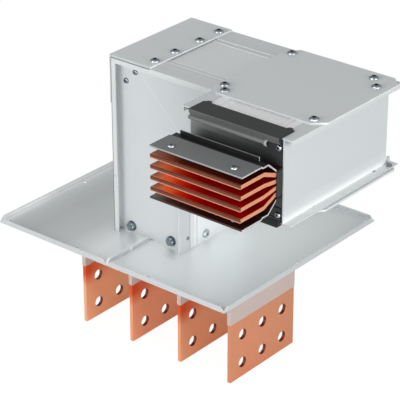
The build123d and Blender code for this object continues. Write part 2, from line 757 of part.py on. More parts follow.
# Shrouds of the contact end, the end plates of the branch and the profiles that frame them
shroud_front = branch_front - contact_reach + shroud_recess
shroud_knee = shroud_front + shroud_front_flat + shroud_joggle + shroud_back_flat
shroud_level = shroud_half - shroud_thickness / 2
tail_level = pack_half + shroud_thickness / 2
shroud_seat = pack_half + shroud_thickness
end_width = 2 * web_inner
rivet_across = web_inner - rivet_side_inset
rib_length = end_width - rib_left_inset - rib_right_inset
end_screw_x = branch_offset + web_inner - end_screw_inset
end_screw_level = half_depth - end_screw_drop
frame_front = branch_front - frame_overhang
frame_rear = branch_front + frame_back
frame_top = half_depth + frame_wall
bead_length = bar_width - bead_short
end_screw_seats = []
rivets = []
for outward, place in ((1, "top"), (-1, "bottom")):
    with BuildPart() as shroud:
        with BuildSketch(Plane.YZ.offset(branch_offset - web_inner)):
            with BuildLine():
                folds = [
                    (shroud_front, shroud_level),
                    (shroud_front + shroud_front_flat, shroud_level),
                    (shroud_front + shroud_front_flat + shroud_joggle, shroud_level - shroud_joggle),
                    (shroud_knee, shroud_level - shroud_joggle),
                    (shroud_knee + shroud_slope, tail_level),
                    (branch_front + end_plate, tail_level),
                ]
                strip([(y, run_height + outward * level) for y, level in folds], 0, shroud_thickness)
            make_face()
        extrude(amount=end_width)
        rib_foot = shroud_level - shroud_joggle
        rib_rise = rib_height + shroud_thickness / 2
        rib_middle = run_height + outward * (rib_foot + rib_rise / 2)
        with BuildSketch(Plane.YZ.offset(branch_offset - web_inner + rib_left_inset)):
            with Locations((shroud_knee, rib_middle)):
                Rectangle(rib_thickness, rib_rise)
        extrude(amount=rib_length)
        seat = run_height + outward * shroud_half
        rivet_y = shroud_front + rivet_setback
        seats = [(branch_offset + across, rivet_y, seat) for across in (-rivet_across, rivet_across)]
        drill(seats, (0, 0, -outward), rivet_shank_radius, shroud_thickness * 2)
    write(shroud, f"contact_shroud_{place}")
    rivets += [
        screw(start, (0, 0, -outward), rivet_radius, rivet_height, rivet_shank_radius, shroud_thickness)
        for start in seats
    ]

    screw_z = run_height + outward * end_screw_level
    end_screw_seats.append((end_screw_x, branch_front - frame_wall, screw_z))
    with BuildPart() as closure:
        plate_height = half_depth - wall - shroud_seat
        plate_middle = run_height + outward * (shroud_seat + plate_height / 2)
        plate_centre = (branch_offset, branch_front, plate_middle)
        with BuildSketch(Plane(origin=plate_centre, x_dir=(1, 0, 0), z_dir=(0, 1, 0))):
            Rectangle(end_width, plate_height)
        extrude(amount=end_plate)
        drill([(end_screw_x, branch_front, screw_z)], (0, 1, 0), small_shank_radius, end_plate)
    write(closure, f"end_plate_{place}")

    with BuildPart() as end_frame:
        outline = [
            (frame_rear, frame_top),
            (frame_front, frame_top),
            (frame_front + frame_slope, frame_top - frame_lip),
            (branch_front - frame_wall, frame_top - frame_lip),
            (branch_front - frame_wall, half_depth - 2 * bead_drop),
            (branch_front, half_depth - 2 * bead_drop),
            (branch_front, half_depth),
            (frame_rear, half_depth),
        ]
        with BuildSketch(Plane.YZ.offset(branch_offset - bar_half)):
            with BuildLine():
                Polyline(*[(y, run_height + outward * level) for y, level in outline], close=True)
            make_face()
        extrude(amount=bar_width)
        bead_y = branch_front - frame_wall - bead_radius / 2
        bead_z = run_height + outward * (half_depth - bead_drop)
        with BuildSketch(Plane.YZ.offset(branch_offset - bar_half)):
            with Locations((bead_y, bead_z)):
                Circle(bead_radius)
        extrude(amount=bead_length)
        with Locations((branch_offset - bar_half, bead_y, bead_z)):
            Sphere(bead_radius)
        ear_seat = (branch_offset, frame_rear, run_height + outward * half_depth)
        with BuildSketch(Plane(origin=ear_seat, x_dir=(1, 0, 0), z_dir=(0, 0, outward))):
            with Locations((ear_inset - bar_half, 0), (bar_half - ear_inset, 0)):
                Circle(ear_radius)
        extrude(amount=frame_wall)
        drill([(end_screw_x, branch_front - frame_wall, screw_z)], (0, 1, 0), small_hole_radius, frame_wall)
    write(end_frame, f"end_frame_{place}")

write_group(rivets, "shroud_rivets")
write_group(small_screws(end_screw_seats, (0, 1, 0)), "end_frame_screws")
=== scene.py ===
import bpy
import bmesh
import math
from mathutils import Matrix, Vector


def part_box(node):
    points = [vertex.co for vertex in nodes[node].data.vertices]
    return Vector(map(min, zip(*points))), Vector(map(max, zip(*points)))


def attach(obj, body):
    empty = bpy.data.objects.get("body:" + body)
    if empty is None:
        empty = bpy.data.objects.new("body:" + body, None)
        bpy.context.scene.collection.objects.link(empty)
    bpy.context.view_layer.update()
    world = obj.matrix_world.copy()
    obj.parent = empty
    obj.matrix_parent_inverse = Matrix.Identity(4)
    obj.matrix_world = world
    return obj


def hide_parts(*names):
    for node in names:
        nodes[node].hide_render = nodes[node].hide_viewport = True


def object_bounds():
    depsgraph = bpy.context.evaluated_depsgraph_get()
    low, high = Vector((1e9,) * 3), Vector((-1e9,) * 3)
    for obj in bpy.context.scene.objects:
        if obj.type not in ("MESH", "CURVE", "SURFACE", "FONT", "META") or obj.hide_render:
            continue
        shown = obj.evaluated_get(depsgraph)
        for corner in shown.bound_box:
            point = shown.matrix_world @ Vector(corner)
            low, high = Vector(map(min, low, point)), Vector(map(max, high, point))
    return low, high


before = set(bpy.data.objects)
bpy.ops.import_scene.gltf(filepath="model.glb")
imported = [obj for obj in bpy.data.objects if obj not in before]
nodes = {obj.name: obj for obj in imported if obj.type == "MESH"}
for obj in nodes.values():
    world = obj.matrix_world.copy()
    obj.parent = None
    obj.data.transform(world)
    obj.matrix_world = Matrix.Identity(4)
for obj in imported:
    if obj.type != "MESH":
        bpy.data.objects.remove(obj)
cad_low, cad_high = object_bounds()

# The studio: a long lens looks down on the elbow from its front right, as for a catalogue picture.
# The light is soft and comes from the sides more than from overhead, over a white sheet.
mm = 0.001
azimuth = math.radians(39.64)
elevation = math.radians(26.71)
roll = math.radians(-0.16)
camera_place = Vector((1.75666, -2.08809, 1.41121))
forward = Vector(
    (
        -math.sin(azimuth) * math.cos(elevation),
        math.cos(azimuth) * math.cos(elevation),
        -math.sin(elevation),
    )
)
level_right = Vector((math.cos(azimuth), math.sin(azimuth), 0))
level_up = level_right.cross(forward)
right = level_right * math.cos(roll) + level_up * math.sin(roll)
up = right.cross(forward)
camera_data = bpy.data.cameras.new("catalogue_camera")
camera_data.lens = 175.42
camera_data.sensor_width = 36
camera_data.clip_end = 50
camera = bpy.data.objects.new("catalogue_camera", camera_data)
turn = Matrix((right, up, -forward)).transposed()
camera.matrix_world = Matrix.Translation(camera_place) @ turn.to_4x4()
bpy.context.collection.objects.link(camera)
bpy.context.scene.camera = camera
bpy.context.scene.view_settings.view_transform = "Standard"


def feed(entry, value):
    """Give a node's input another node's output, a colour or a number."""
    if isinstance(value, bpy.types.NodeSocket):
        entry.id_data.links.new(value, entry)
    elif isinstance(value, tuple):
        entry.default_value = (*value, 1)
    else:
        entry.default_value = value


def computed(operation, *values):
    """Result of a Math node. The first value is a socket, the others are sockets or numbers."""
    step = values[0].id_data.nodes.new("ShaderNodeMath")
    step.operation = operation
    for entry, value in zip(step.inputs, values):
        feed(entry, value)
    return step.outputs[0]


def scaled(value, from_low, from_high, to_low=0.0, to_high=1.0):
    """Value brought from one range to another, and held at its ends."""
    scale = value.id_data.nodes.new("ShaderNodeMapRange")
    feed(scale.inputs["Value"], value)
    feed(scale.inputs["From Min"], from_low)
    feed(scale.inputs["From Max"], from_high)
    feed(scale.inputs["To Min"], to_low)
    feed(scale.inputs["To Max"], to_high)
    return scale.outputs["Result"]


def shade_along(value, *stops, unit=1.0):
    """Colour that runs from stop to stop while a value passes their places."""
    low = stops[0][0]
    high = stops[-1][0]
    ramp = value.id_data.nodes.new("ShaderNodeValToRGB")
    elements = ramp.color_ramp.elements
    elements[0].color = (*stops[0][1], 1)
    elements[1].color = (*stops[-1][1], 1)
    for place, colour in stops[1:-1]:
        elements.new((place - low) / (high - low)).color = (*colour, 1)
    feed(ramp.inputs["Fac"], scaled(value, low * unit, high * unit))
    return ramp.outputs["Color"]


world = bpy.data.worlds.new("studio_air")
bpy.context.scene.world = world
world.use_nodes = True
air = world.node_tree
air.nodes.clear()
air_out = air.nodes.new("ShaderNodeOutputWorld")
air_light = air.nodes.new("ShaderNodeBackground")
air_white = air.nodes.new("ShaderNodeBackground")
air_mix = air.nodes.new("ShaderNodeMixShader")
air_path = air.nodes.new("ShaderNodeLightPath")
air_direction = air.nodes.new("ShaderNodeTexCoord")
air_parts = air.nodes.new("ShaderNodeSeparateXYZ")
feed(air_parts.inputs[0], air_direction.outputs["Generated"])
air_shade = shade_along(
    air_parts.outputs["Z"],
    (-1.0, (0.95, 0.95, 0.95)),
    (0.0, (1.0, 1.0, 1.0)),
    (0.36, (0.97, 0.97, 0.97)),
    (0.64, (0.50, 0.50, 0.50)),
    (1.0, (0.36, 0.37, 0.38)),
)
air_mirrored = air.nodes.new("ShaderNodeMix")
feed(air_mirrored.inputs["Factor"], air_path.outputs["Is Glossy Ray"])
feed(air_mirrored.inputs["A"], 1.0)
feed(air_mirrored.inputs["B"], scaled(air_parts.outputs["Y"], -0.1, 0.5, 1.0, 0.95))
air_strength = 0.80
feed(air_light.inputs["Color"], air_shade)
feed(air_light.inputs["Strength"], computed("MULTIPLY", air_mirrored.outputs["Result"], air_strength))
feed(air_white.inputs["Color"], (1, 1, 1))
feed(air_white.inputs["Strength"], 1.0)
feed(air_mix.inputs["Fac"], air_path.outputs["Is Camera Ray"])
feed(air_mix.inputs[1], air_light.outputs[0])
feed(air_mix.inputs[2], air_white.outputs[0])
feed(air_out.inputs["Surface"], air_mix.outputs[0])


def soft_lamp(name, place, aim, width, height, watts):
    """Soft box that hangs at a place and looks at a point."""
    data = bpy.data.lights.new(name, "AREA")
    data.shape = "RECTANGLE"
    data.size = width
    data.size_y = height
    data.energy = watts
    lamp = bpy.data.objects.new(name, data)
    lamp.location = place
    lamp.rotation_euler = (Vector(aim) - Vector(place)).to_track_quat("-Z", "Y").to_euler()
    bpy.context.collection.objects.link(lamp)


soft_lamp("front_box", (-0.6, -3.2, 1.3), (0.1, 0, 0.1), 1.6, 1.6, 44)
soft_lamp("side_box", (3.4, -0.5, 0.55), (0.1, 0, 0.1), 1.4, 0.9, 30)
soft_lamp("low_box", (2.1, -2.4, 0.06), (0.05, 0, -0.05), 1.8, 0.5, 34)

sheet_reach = 8
sheet_level = cad_low[2] - 0.4 * mm
sheet_corners = [
    (-sheet_reach, -sheet_reach, sheet_level),
    (sheet_reach, -sheet_reach, sheet_level),
    (sheet_reach, sheet_reach, sheet_level),
    (-sheet_reach, sheet_reach, sheet_level),
]
sheet_mesh = bpy.data.meshes.new("white_sheet")
sheet_mesh.from_pydata(sheet_corners, [], [(0, 1, 2, 3)])
sheet = bpy.data.objects.new("white_sheet", sheet_mesh)
bpy.context.collection.objects.link(sheet)
sheet_finish = bpy.data.materials.new("white_sheet")
sheet_finish.use_nodes = True
net = sheet_finish.node_tree
net.nodes.clear()
sheet_out = net.nodes.new("ShaderNodeOutputMaterial")
sheet_paint = net.nodes.new("ShaderNodeBsdfDiffuse")
sheet_white = net.nodes.new("ShaderNodeEmission")
sheet_mix = net.nodes.new("ShaderNodeMixShader")
sheet_path = net.nodes.new("ShaderNodeLightPath")
through_glass = sheet_path.outputs["Is Transmission Ray"]
sheet_seen = computed("MAXIMUM", sheet_path.outputs["Is Camera Ray"], through_glass)
white_share = 0.9
feed(sheet_paint.inputs["Color"], (0.9, 0.9, 0.9))
feed(sheet_white.inputs["Strength"], 1.06)
feed(sheet_mix.inputs["Fac"], computed("MULTIPLY", sheet_seen, white_share))
feed(sheet_mix.inputs[1], sheet_paint.outputs[0])
feed(sheet_mix.inputs[2], sheet_white.outputs[0])
feed(sheet_out.inputs["Surface"], sheet_mix.outputs[0])
sheet_mesh.materials.append(sheet_finish)

# Flange: two trays of painted steel sheet with rims turned up and their ends cut back.
# They meet at upstands on both sides of the riser, held by one small screw each.
# Painted light makes the sheet light along its left rim and round the riser, and darker between them.


def clouded_finish(name, colour, gloss, tone_noise, cloud, grain_noise, relief):
    """Finish whose colour and gloss drift slowly, over a fine grain. A noise is a scale and a detail."""
    finish = bpy.data.materials.new(name)
    finish.use_nodes = True
    net = finish.node_tree
    shader = net.nodes["Principled BSDF"]
    place = net.nodes.new("ShaderNodeTexCoord")
    drifts = []
    for scale, detail in (tone_noise, grain_noise):
        noise = net.nodes.new("ShaderNodeTexNoise")
        feed(noise.inputs["Vector"], place.outputs["Object"])
        feed(noise.inputs["Scale"], scale)
        feed(noise.inputs["Detail"], detail)
        drifts.append(noise.outputs["Fac"])
    tone, grain = drifts
    shades = net.nodes.new("ShaderNodeMix")
    shades.data_type = "RGBA"
    feed(shades.inputs["Factor"], tone)
    feed(shades.inputs["A"], tuple(value * (1 - cloud) for value in colour))
    feed(shades.inputs["B"], tuple(min(1, value * (1 + cloud)) for value in colour))
    bump = net.nodes.new("ShaderNodeBump")
    feed(bump.inputs["Height"], grain)
    feed(bump.inputs["Strength"], relief)
    feed(bump.inputs["Distance"], 0.1 * mm)
    feed(shader.inputs["Base Color"], shades.outputs["Result"])
    feed(shader.inputs["Roughness"], scaled(tone, 0, 1, *gloss))
    feed(shader.inputs["Normal"], bump.outputs["Normal"])
    return finish


def paint_finish(name, colour, roughness, relief, cloud, coat=0.0, metal=0.0):
    """Powder coat: fine orange peel, slow change of tone and gloss."""
    gloss = (roughness - 0.05, roughness + 0.05)
    finish = clouded_finish(name, colour, gloss, (7, 3), cloud, (700, 2), relief)
    shader = finish.node_tree.nodes["Principled BSDF"]
    feed(shader.inputs["Metallic"], metal)
    feed(shader.inputs["Coat Weight"], coat)
    feed(shader.inputs["Coat Roughness"], 0.2)
    return finish


def between(place, low, high):
    """Mask that is 1 where a place lies between two bounds in millimetres."""
    return computed("COMPARE", place, (low + high) / 2 * mm, (high - low) / 2 * mm)


def at(place, level):
    """Mask of the faces that lie on a level, in millimetres."""
    return between(place, level - 0.5, level + 0.5)


def facing(part, low, high):
    """Mask that is 1 where a part of the normal lies between two bounds."""
    return computed("COMPARE", part, (low + high) / 2, (high - low) / 2)


def all_of(mask, *others):
    """Mask where every one of the masks is 1."""
    for other in others:
        mask = computed("MULTIPLY", mask, other)
    return mask


def any_of(mask, *others):
    """Mask where at least one of the masks is 1."""
    for other in others:
        mask = computed("MAXIMUM", mask, other)
    return mask


def axes(finish, kind):
    """X, Y and Z of the object's coordinates or normals in a material."""
    net = finish.node_tree
    source = net.nodes.new("ShaderNodeTexCoord")
    parts = net.nodes.new("ShaderNodeSeparateXYZ")
    feed(parts.inputs[0], source.outputs[kind])
    return parts.outputs


def tint(finish, mask, colour):
    """Another colour where the mask is 1, or on the whole finish where the mask is plainly 1."""
    net = finish.node_tree
    base = net.nodes["Principled BSDF"].inputs["Base Color"]
    blend = net.nodes.new("ShaderNodeMix")
    blend.data_type = "RGBA"
    feed(blend.inputs["Factor"], mask)
    feed(blend.inputs["A"], base.links[0].from_socket)
    feed(blend.inputs["B"], colour)
    feed(base, blend.outputs["Result"])


def eased_piece(node, edge, finish, name):
    """Copy of a CAD node with merged faces and eased edges, which stands for the node."""
    shell = bmesh.new()
    shell.from_mesh(nodes[node].data)
    bmesh.ops.remove_doubles(shell, verts=shell.verts, dist=0.002 * mm)
    bmesh.ops.dissolve_limit(shell, angle_limit=math.radians(0.5), verts=shell.verts, edges=shell.edges)
    for face in shell.faces:
        face.smooth = True
    mesh = bpy.data.meshes.new(name)
    shell.to_mesh(mesh)
    shell.free()
    mesh.materials.append(finish)
    piece = bpy.data.objects.new(name, mesh)
    bpy.context.collection.objects.link(piece)
    bevel = piece.modifiers.new("eased", "BEVEL")
    bevel.width = edge
    bevel.segments = 2
    bevel.limit_method = "ANGLE"
    bevel.angle_limit = math.radians(35)
    bevel.miter_outer = "MITER_ARC"
    normals = piece.modifiers.new("flat_faces", "WEIGHTED_NORMAL")
    normals.keep_sharp = True
    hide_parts(node)
    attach(piece, "root")


def box_in_mm(node):
    """Lowest and highest corner of a CAD node, in millimetres."""
    return [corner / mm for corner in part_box(node)]


flange_edge = 0.4 * mm
sheet_gauge = 2.0
rim_zone = 17.5
left_rim_x = box_in_mm("flange_left")[0].x
right_rim_x = box_in_mm("flange_right")[1].x
flange_paint = paint_finish("flange_paint", (0.95, 0.97, 0.975), 0.32, 0.1, 0.02, 0.3, 0.3)
place_x, place_y, place_z = axes(flange_paint, "Object")
facing_x, facing_y, facing_z = axes(flange_paint, "Normal")
# Painted light on the tray tops: a highlight along the left rim's bend and round the riser, darker
# between.
tray_painted_light = shade_along(
    place_x,
    (left_rim_x, (0.72, 0.755, 0.76)),
    (left_rim_x + sheet_gauge, (0.72, 0.755, 0.76)),
    (left_rim_x + 3.0, (1.0, 1.0, 1.0)),
    (left_rim_x + 7.0, (1.0, 1.0, 1.0)),
    (left_rim_x + 11.5, (0.82, 0.86, 0.865)),
    (left_rim_x + 18.5, (0.70, 0.74, 0.745)),
    (left_rim_x + 32.5, (0.63, 0.665, 0.67)),
    (left_rim_x + 57.5, (0.58, 0.615, 0.62)),
    (-100.0, (0.68, 0.715, 0.72)),
    (-40.0, (0.97, 1.0, 1.0)),
    (70.0, (0.96, 0.99, 0.99)),
    (right_rim_x, (0.78, 0.825, 0.83)),
    unit=mm,
)
tint(flange_paint, facing(facing_z, 0.5, 1.1), tray_painted_light)
# Painted shade on the rims' upright faces, and a painted highlight on the left rim's inner face.
tint(flange_paint, facing(facing_z, -0.5, 0.5), (0.59, 0.615, 0.62))
left_rim_painted_highlight = all_of(facing(facing_x, 0.5, 1.1), between(place_x, left_rim_x, left_rim_x + rim_zone))
tint(flange_paint, left_rim_painted_highlight, (1.0, 1.0, 1.0))
for side in ("left", "right"):
    eased_piece(f"flange_{side}", flange_edge, flange_paint, f"flange_tray_{side}")

# Side walls: channels folded from painted aluminium, with a flange each side and one returned edge.
# They are cut at 45 degrees where riser meets run and where the run turns into the branch.
# Painted shade darkens the gaps beside the cap and at the mitre, and a fine bright line shows where riser
# and run meet.
wall_edge = 0.7 * mm
flange_depth = 13.0
riser_low, riser_high = box_in_mm("riser_wall_front")
run_low, run_high = box_in_mm("run_wall_front")
branch_high = box_in_mm("branch_wall_outer")[1]
cap_low, cap_high = box_in_mm("corner_cap")
return_y = riser_low.y
web_y = return_y + flange_depth
branch_return_x = branch_high.x
branch_web_x = branch_return_x - flange_depth
web_top_z = run_high.z - 5.0
run_web_low_z = 200.0
riser_side_x = (50.0, 70.0)
mitre_x = 131.7
mitre_half_width = 1.1
joint_half_width = 0.6
wall_paint = paint_finish("wall_paint", (0.53, 0.56, 0.57), 0.48, 0.2, 0.015)
place_x, place_y, place_z = axes(wall_paint, "Object")
facing_x, facing_y, facing_z = axes(wall_paint, "Normal")
looks_forward = facing(facing_y, -1.1, -0.3)
# Painted light on the webs: a glow above the bottom flange, and painted shade under the top return.
web_painted_light = shade_along(
    place_z,
    (run_low.z + 2.0, (1.0, 1.0, 1.0)),
    (run_low.z + 5.5, (0.82, 0.84, 0.84)),
    (run_low.z + 13.5, (0.60, 0.63, 0.64)),
    (run_low.z + 27.0, (0.54, 0.57, 0.58)),
    (run_high.z - 14.0, (0.54, 0.57, 0.58)),
    (run_high.z - 8.5, (0.43, 0.455, 0.465)),
    unit=mm,
)
branch_web = all_of(at(place_x, branch_web_x), between(place_z, run_low.z + 2.0, web_top_z))
run_web = all_of(at(place_y, web_y), between(place_z, run_web_low_z, web_top_z))
tint(wall_paint, any_of(branch_web, run_web), web_painted_light)
joint_sum = riser_high.x + run_low.z
across_joint = computed("ADD", place_x, place_z)
joint_line = between(across_joint, joint_sum - joint_half_width, joint_sum + joint_half_width)
tint(wall_paint, all_of(joint_line, at(place_y, web_y)), (0.66, 0.69, 0.70))
# Painted light: faces that look up are lighter, and the bottom flange's top is almost white from the web's
# glow.
looks_up = facing(facing_z, 0.8, 1.1)
tint(wall_paint, looks_up, (0.74, 0.77, 0.775))
low_flange = all_of(
    looks_up,
    between(place_z, run_low.z - 3.0, run_low.z + 5.0),
    between(place_x, branch_web_x - 1.0, branch_return_x + 4.0),
)
tint(wall_paint, low_flange, (0.96, 0.995, 1.0))
# Painted light: the riser's right-facing faces and the returns are lighter than the web.
looks_right = facing(facing_x, 0.8, 1.1)
tint(wall_paint, all_of(looks_right, between(place_x, *riser_side_x)), (0.56, 0.59, 0.595))
forward_return = all_of(facing(facing_y, -1.1, -0.8), at(place_y, return_y))
side_return = all_of(looks_right, at(place_x, branch_return_x))
tint(wall_paint, any_of(forward_return, side_return), (0.57, 0.60, 0.605))
# Painted shade of the gaps beside the cap and at the mitre.
above_cap_fold = between(place_z, cap_high.z - 4.6, cap_high.z + 2.0)
beside_cap_fold = between(place_x, cap_low.x - 1.0, cap_low.x + 4.4)
cap_gap = all_of(
    looks_forward,
    between(place_x, cap_low.x - 1.0, cap_high.x),
    any_of(above_cap_fold, beside_cap_fold),
)
tint(wall_paint, cap_gap, (0.17, 0.18, 0.18))
mitre_gap = all_of(
    looks_forward,
    between(place_x, mitre_x - mitre_half_width, mitre_x + mitre_half_width),
    between(place_y, return_y - 1.0, web_y),
)
tint(wall_paint, mitre_gap, (0.22, 0.23, 0.23))
for node in (
    "riser_wall_front",
    "riser_wall_back",
    "run_wall_front",
    "run_wall_back",
    "branch_wall_inner",
    "branch_wall_outer",
):
    eased_piece(node, wall_edge, wall_paint, f"{node}_channel")

# Covers: extruded aluminium profiles with a groove and a step along each edge and a sunk middle.
# They lie between the walls' flanges. The folds carry painted highlights, and painted shade darkens
# the joint beside the upright cover.
cover_edge = 0.3 * mm
border_band = (49.4, 71.0)
groove_band = (57.4, 59.4)
step_band = (48.1, 49.5)
far_half = (0.0, 80.0)
near_groove_line = (-61.4, -59.2)
near_step_line = (-51.2, -49.4)
cut_edge_band = (70.9, 72.0)


def cover_finish(name, colour, border, line, edge, across, middle):
    """Paint of a cover: toned borders at both sides, with painted highlights on the folds, and painted
    light on fine lines and an edge.
    """
    finish = paint_finish(name, colour, 0.45, 0.12, 0.015)
    offset = computed("SUBTRACT", axes(finish, "Object")[across], middle * mm)
    reach = computed("ABSOLUTE", offset)
    tint(finish, between(reach, *border_band), border)
    # Painted highlights on the folds, dimmer on the far side, and painted light on the near fold lines and
    # the cut edge.
    folds = any_of(between(reach, *groove_band), between(reach, *step_band))
    tint(finish, folds, (0.98, 0.99, 0.99))
    tint(finish, all_of(folds, between(offset, *far_half)), (0.80, 0.82, 0.825))
    tint(finish, any_of(between(offset, *near_groove_line), between(offset, *near_step_line)), line)
    tint(finish, between(reach, *cut_edge_band), edge)
    return finish


# The covers' differing tones are painted light. The edge colours are a painted highlight, and painted
# shade at the upright cover's joint.
white = (1.0, 1.0, 1.0)
painted_edge_highlight = (0.9, 0.92, 0.92)
painted_joint_shade = (0.28, 0.30, 0.31)
upright_light = (0.78, 0.81, 0.815)
upright_border = (0.69, 0.72, 0.725)
run_light = (0.83, 0.86, 0.865)
run_border = (0.72, 0.75, 0.755)
branch_middle_x = (box_in_mm("branch_wall_inner")[0].x + branch_return_x) / 2
upright = (upright_light, upright_border, upright_light, painted_joint_shade)
upright_cover = cover_finish("upright_paint_and_painted_light", *upright, 1, 0.0)
run_cover = cover_finish("run_paint_and_painted_light", run_light, run_border, white, painted_edge_highlight, 1, 0.0)
branch_cover = cover_finish("branch_paint_and_painted_light", white, white, white, painted_edge_highlight, 0, branch_middle_x)
for node, finish in (
    ("riser_cover_outer", upright_cover),
    ("riser_cover_inner", upright_cover),
    ("run_cover_top", run_cover),
    ("run_cover_bottom", run_cover),
    ("branch_cover_top", branch_cover),
    ("branch_cover_bottom", branch_cover),
):
    eased_piece(node, cover_edge, finish, f"{node}_profile")

# Corner sheets of painted steel: the cap is bent over the outer corner, and a square plate with cut
# corners lies above and below the turn in plan. Screws hold them to the walls.
corner_edge = 0.8 * mm
plate_paint = paint_finish("plate_paint", (0.765, 0.805, 0.805), 0.45, 0.15, 0.015)
place_x, place_y, place_z = axes(plate_paint, "Object")
facing_x, facing_y, facing_z = axes(plate_paint, "Normal")
# Painted light: the sheets' side faces are darker, the cap's front face darker still, and the cap's end
# carries a painted highlight.
tint(plate_paint, facing(facing_z, -0.8, 0.8), (0.64, 0.67, 0.675))
cap_front = all_of(facing(facing_y, -1.1, -0.8), between(place_x, cap_low.x - 1.0, cap_high.x + 1.0))
tint(plate_paint, cap_front, (0.47, 0.50, 0.505))
cap_end = all_of(facing(facing_x, 0.8, 1.1), between(place_x, cap_high.x - 12.0, cap_high.x + 8.0))
tint(plate_paint, cap_end, (0.92, 0.94, 0.94))
for node in ("corner_cap", "corner_plate_top", "corner_plate_bottom"):
    eased_piece(node, corner_edge, plate_paint, f"{node}_sheet")

# Conductors: four bare copper bars, flared to blades at the branch and jogged to palms below.
# Between the blades red film covers the copper's flat faces, with painted light orange where light gets
# in. The rolled front edges of the blades carry painted shade in brown, with a painted highlight line
# below.


def metal_finish(name, colour, roughness, metal=1.0):
    """Drawn metal: fine grain and a slow change of tone."""
    gloss = (roughness - 0.04, roughness + 0.06)
    finish = clouded_finish(name, colour, gloss, (14, 4), 0.04, (900, 2), 0.08)
    feed(finish.node_tree.nodes["Principled BSDF"].inputs["Metallic"], metal)
    return finish


bar_edge = 0.9 * mm
blade_pitch = 17.0
bar_low, bar_high = box_in_mm("conductor_1")
blade_tip_y = bar_low.y
blade_right_x = bar_high.x
blade_left_x = 2 * branch_middle_x - blade_right_x
branch_middle_z = (run_low.z + run_high.z) / 2
copper_metal = 0.65
copper = metal_finish("bare_copper", (0.89, 0.39, 0.22), 0.38, copper_metal)
shader = copper.node_tree.nodes["Principled BSDF"]
film_back_y = -100.0
place_x, place_y, place_z = axes(copper, "Object")
facing_x, facing_y, facing_z = axes(copper, "Normal")
film = all_of(
    between(place_x, blade_left_x + 0.2, blade_right_x - 0.2),
    between(place_y, blade_tip_y + 2.5, film_back_y),
    facing(computed("ABSOLUTE", facing_z), 0.6, 1.1),
)
# Red film with painted light: brown at the left end, orange where light gets in, deep red to dark further
# in.
film_painted_light = shade_along(
    place_x,
    (blade_left_x, (0.34, 0.12, 0.06)),
    (blade_left_x + 8.0, (0.55, 0.18, 0.08)),
    (blade_left_x + 17.0, (1.0, 0.25, 0.05)),
    (blade_left_x + 31.0, (1.0, 0.20, 0.035)),
    (blade_left_x + 43.0, (0.80, 0.06, 0.012)),
    (blade_left_x + 63.0, (0.64, 0.01, 0.001)),
    (blade_left_x + 91.0, (0.42, 0.0, 0.0)),
    (blade_right_x + 1.0, (0.38, 0.0, 0.0)),
    unit=mm,
)
tint(copper, film, film_painted_light)
feed(shader.inputs["Metallic"], scaled(film, 0, 1, copper_metal, 0.0))
feed(shader.inputs["Specular IOR Level"], scaled(film, 0, 1, 0.5, 0.15))
# Painted shadow of the top shroud on the top blade's film.
below_shroud_painted_shadow = shade_along(
    place_x,
    (blade_left_x, (0.40, 0.13, 0.07)),
    (blade_left_x + 21.0, (0.50, 0.13, 0.06)),
    (blade_left_x + 51.0, (0.16, 0.025, 0.01)),
    (blade_right_x + 1.0, (0.08, 0.004, 0.002)),
    unit=mm,
)
top_blade = between(place_z, branch_middle_z + 21.0, branch_middle_z + 33.0)
tint(copper, all_of(film, top_blade), below_shroud_painted_shadow)
# Painted light on the blades' rolled front edges: a painted highlight line low on each, painted shade
# above.
blade_row = computed("MULTIPLY_ADD", place_z, 1 / (blade_pitch * mm), 10 - branch_middle_z / blade_pitch)
blade_edge_painted_light = shade_along(
    computed("FRACT", blade_row),
    (0.36, (0.80, 0.36, 0.22)),
    (0.42, (0.21, 0.065, 0.035)),
    (0.68, (0.15, 0.04, 0.02)),
)
tint(copper, between(place_y, blade_tip_y - 0.2, blade_tip_y + 1.2), blade_edge_painted_light)

# Palms: the bars' lower ends, each with six bolt holes. Painted light changes their tone from one bar to
# the next.
# A shrink sleeve covers the upper part of each, and a painted reflection makes the copper a darker red
# right below it.
# Painted light: the palms are lighter towards the left bars and darker on the rightmost bar.
palm_painted_light = shade_along(
    place_x,
    (-150.0, (1.0, 0.53, 0.30)),
    (-50.0, (1.0, 0.46, 0.26)),
    (50.0, (0.95, 0.45, 0.245)),
    (130.0, (0.78, 0.33, 0.18)),
    unit=mm,
)
palm_end_z = bar_low.z
sleeve_end_z = box_in_mm("palm_sleeve_1")[0].z
palm = between(place_z, palm_end_z - 5.0, -5.0)
tint(copper, palm, palm_painted_light)
# Painted red reflection on the left bars' palms, below the sleeves and towards the front.
left_bars_x = (-200.0, 100.0)
below_sleeve = scaled(place_z, (sleeve_end_z - 40.0) * mm, (sleeve_end_z - 15.0) * mm)
towards_front = scaled(place_y, -20.0 * mm, -70.0 * mm, 0.15, 1.0)
red_reflection = all_of(palm, between(place_x, *left_bars_x), below_sleeve, towards_front)
tint(copper, red_reflection, (0.78, 0.12, 0.03))
# Painted shade on the walls of the bolt holes.
hole_y = (-77.5, 77.5)
hole_z = (-195.0, -45.0)
hole_wall = all_of(facing(facing_x, -0.3, 0.3), between(place_y, *hole_y), between(place_z, *hole_z))
tint(copper, hole_wall, (0.22, 0.05, 0.025))
sleeve_edge = 0.2 * mm
sleeve_film = paint_finish("sleeve_film", (0.49, 0.40, 0.37), 0.35, 0.1, 0.08, 0.3)
for number in (1, 2, 3, 4):
    bar = f"conductor_{number}"
    sleeve = f"palm_sleeve_{number}"
    eased_piece(bar, bar_edge, copper, f"copper_bar_{number}")
    eased_piece(sleeve, sleeve_edge, sleeve_film, f"shrink_sleeve_{number}")

# Insulation: red film between the bars and black sheaths outside, which follow the bars through both
# turns. They are seen at the ends of the pack, where the blades come out.
red_film = paint_finish("red_film", (0.30, 0.01, 0.006), 0.4, 0.1, 0.05)
black_film = paint_finish("black_film", (0.02, 0.022, 0.022), 0.5, 0.1, 0.05)


